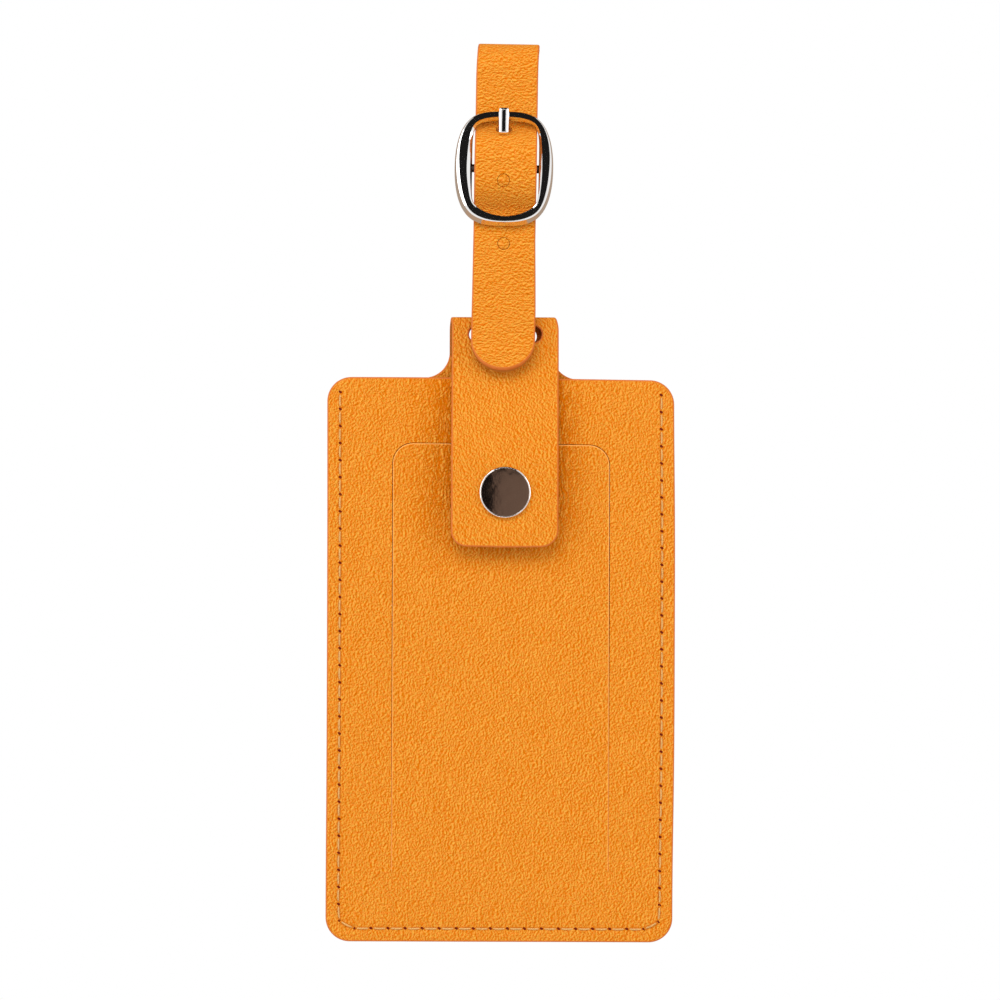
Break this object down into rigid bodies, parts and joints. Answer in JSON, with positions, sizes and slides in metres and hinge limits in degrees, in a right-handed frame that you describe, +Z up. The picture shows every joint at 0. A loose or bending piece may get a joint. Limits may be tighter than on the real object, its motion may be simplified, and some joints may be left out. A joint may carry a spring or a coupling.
{
  "type": "luggage tag",
  "caption": "Flat sewn leather luggage tag: a card pocket with a hinged privacy door, held shut by a snap flap folded from its neck, hung on a strap closed by a small buckle.",
  "frame": {"origin": "middle of the strap's top loop, on the axis of its round inner face, where the bag's handle goes", "axes": "+Z up along the tag as it hangs, -Y out of the tag's front, +X to the right seen from the front"},
  "size_m": [0.0692, 0.0158, 0.1794],
  "materials": {
    "orange_leather": "fine pebbled grain, satin",
    "orange_lining": "smooth, matt",
    "orange_thread": "twisted thread",
    "chrome": "polished",
    "spring_steel": "drawn wire",
    "gunmetal": "dark polished plating",
    "clear_film": "clear flexible film",
    "card": "uncoated card"
  },
  "bodies": {
    "strap": {"strap": "orange_leather", "strap_lining": "orange_lining", "strap_end_stitches": "orange_thread"},
    "buckle": {"buckle_frame": "chrome"},
    "prong": {"buckle_prong": "chrome"},
    "pocket": {"back_panel": "orange_leather", "back_lining": "orange_lining", "front_panel": "orange_leather", "front_lining": "orange_lining", "window_film": "clear_film", "front_thread": "orange_thread", "back_thread": "orange_thread"},
    "door": {"privacy_door": "orange_leather", "door_lining": "orange_lining", "snap_stud": "chrome", "snap_post": "chrome"},
    "flap": {"closure_flap": "orange_leather", "flap_lining": "orange_lining", "snap_cap": "gunmetal", "snap_socket": "chrome", "snap_spring": "spring_steel"},
    "card": {"address_card": "card"}
  },
  "joints": [
    {"name": "pocket_swing", "type": "hinge", "parent": "strap", "child": "pocket", "pos_m": [-0.00073, -0.0005, -0.05239], "axis": [1, 0, 0], "range_deg": [-9, 9]},
    {"name": "buckle_rock", "type": "hinge", "parent": "strap", "child": "buckle", "pos_m": [-0.00028, -0.00652, -0.02], "axis": [0.9999, 0, -0.014], "range_deg": [-1.5, 1.5]},
    {"name": "prong_lift", "type": "hinge", "parent": "buckle", "child": "prong", "pos_m": [-0.00028, -0.00652, -0.02], "axis": [0.9999, 0, -0.014], "range_deg": [0, 3]},
    {"name": "flap_lift", "type": "hinge", "parent": "pocket", "child": "flap", "pos_m": [-0.00008, -0.00379, -0.0623], "axis": [-1, 0, 0], "range_deg": [0, 105]},
    {"name": "door_open", "type": "hinge", "parent": "pocket", "child": "door", "pos_m": [-0.0008, -0.0019, -0.15949], "axis": [1, 0, 0], "range_deg": [0, 160], "stiffness_Nm_per_rad": 0.006},
    {"name": "card_slide", "type": "slide", "parent": "pocket", "child": "card", "axis": [0, 0, 1], "range_m": [0, 0.0119]}
  ]
}
